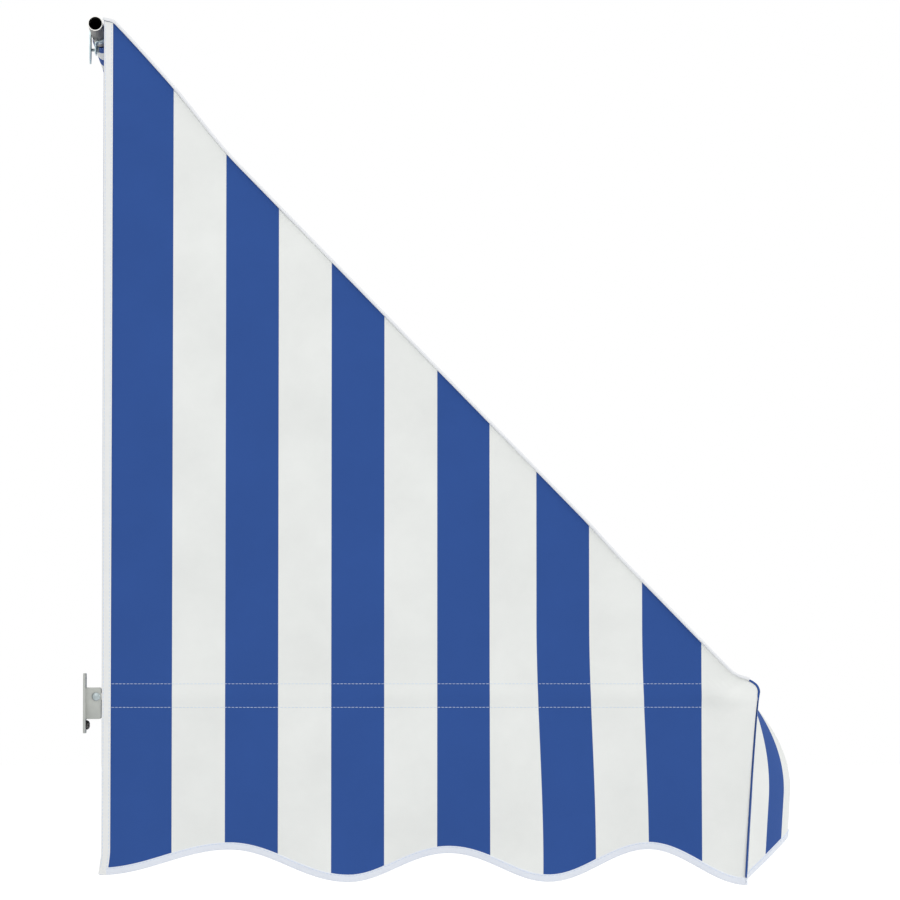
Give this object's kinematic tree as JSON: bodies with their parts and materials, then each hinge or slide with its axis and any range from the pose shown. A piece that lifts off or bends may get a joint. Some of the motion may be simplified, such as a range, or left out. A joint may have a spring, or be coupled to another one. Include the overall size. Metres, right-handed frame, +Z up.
{
  "type": "fixed window awning",
  "caption": "Fixed fabric awning on a bent tube frame: a sloping striped roof, striped side wings, a scalloped hem and a fluted front valance.",
  "frame": {"origin": "on the wall plane, at the middle of the width, on the flat back of the middle head clip 8 mm below the head rod's axis", "axes": "+X out from the wall, +Y along the wall to the right side seen from inside the room behind it, +Z up"},
  "size_m": [0.9757, 1.224, 1.1674],
  "materials": {
    "galvanised_tube": "galvanised, dull grey",
    "zinc_strap": "bright zinc plate, pale blue-grey",
    "zinc_fastener": "zinc plated",
    "painted_bracket": "satin light grey powder coat",
    "dark_screw": "black oxide",
    "striped_cloth": "plain woven acrylic, blue and white stripes",
    "white_cloth": "plain woven acrylic, white",
    "binding_tape": "woven binding tape, bluish white"
  },
  "bodies": {
    "root": {"head_rod": "galvanised_tube", "front_bar": "galvanised_tube", "arm_left": "galvanised_tube", "arm_right": "galvanised_tube", "head_clip_left": "zinc_strap", "head_clip_middle": "zinc_strap", "head_clip_right": "zinc_strap", "head_clip_screw_left": "zinc_fastener", "head_clip_screw_middle": "zinc_fastener", "head_clip_screw_right": "zinc_fastener", "joint_screw_left_bar": "zinc_fastener", "joint_screw_left_arm": "zinc_fastener", "arm_bolt_left": "zinc_fastener", "arm_washer_left": "zinc_fastener", "arm_nut_left": "zinc_fastener", "joint_sleeve_left": "galvanised_tube", "wall_bracket_left": "painted_bracket", "wall_screw_left": "dark_screw", "wing_left": "striped_cloth", "side_binding_left": "binding_tape", "back_tape_left": "binding_tape", "slope_piping_left": "binding_tape", "arm_pocket_left": "white_cloth", "joint_screw_right_bar": "zinc_fastener", "joint_screw_right_arm": "zinc_fastener", "arm_bolt_right": "zinc_fastener", "arm_washer_right": "zinc_fastener", "arm_nut_right": "zinc_fastener", "joint_sleeve_right": "galvanised_tube", "wall_bracket_right": "painted_bracket", "wall_screw_right": "dark_screw", "wing_right": "striped_cloth", "side_binding_right": "binding_tape", "back_tape_right": "binding_tape", "slope_piping_right": "binding_tape", "arm_pocket_right": "white_cloth", "roof_sheet": "striped_cloth", "front_bar_pocket": "white_cloth", "front_binding": "binding_tape"}
  },
  "joints": []
}
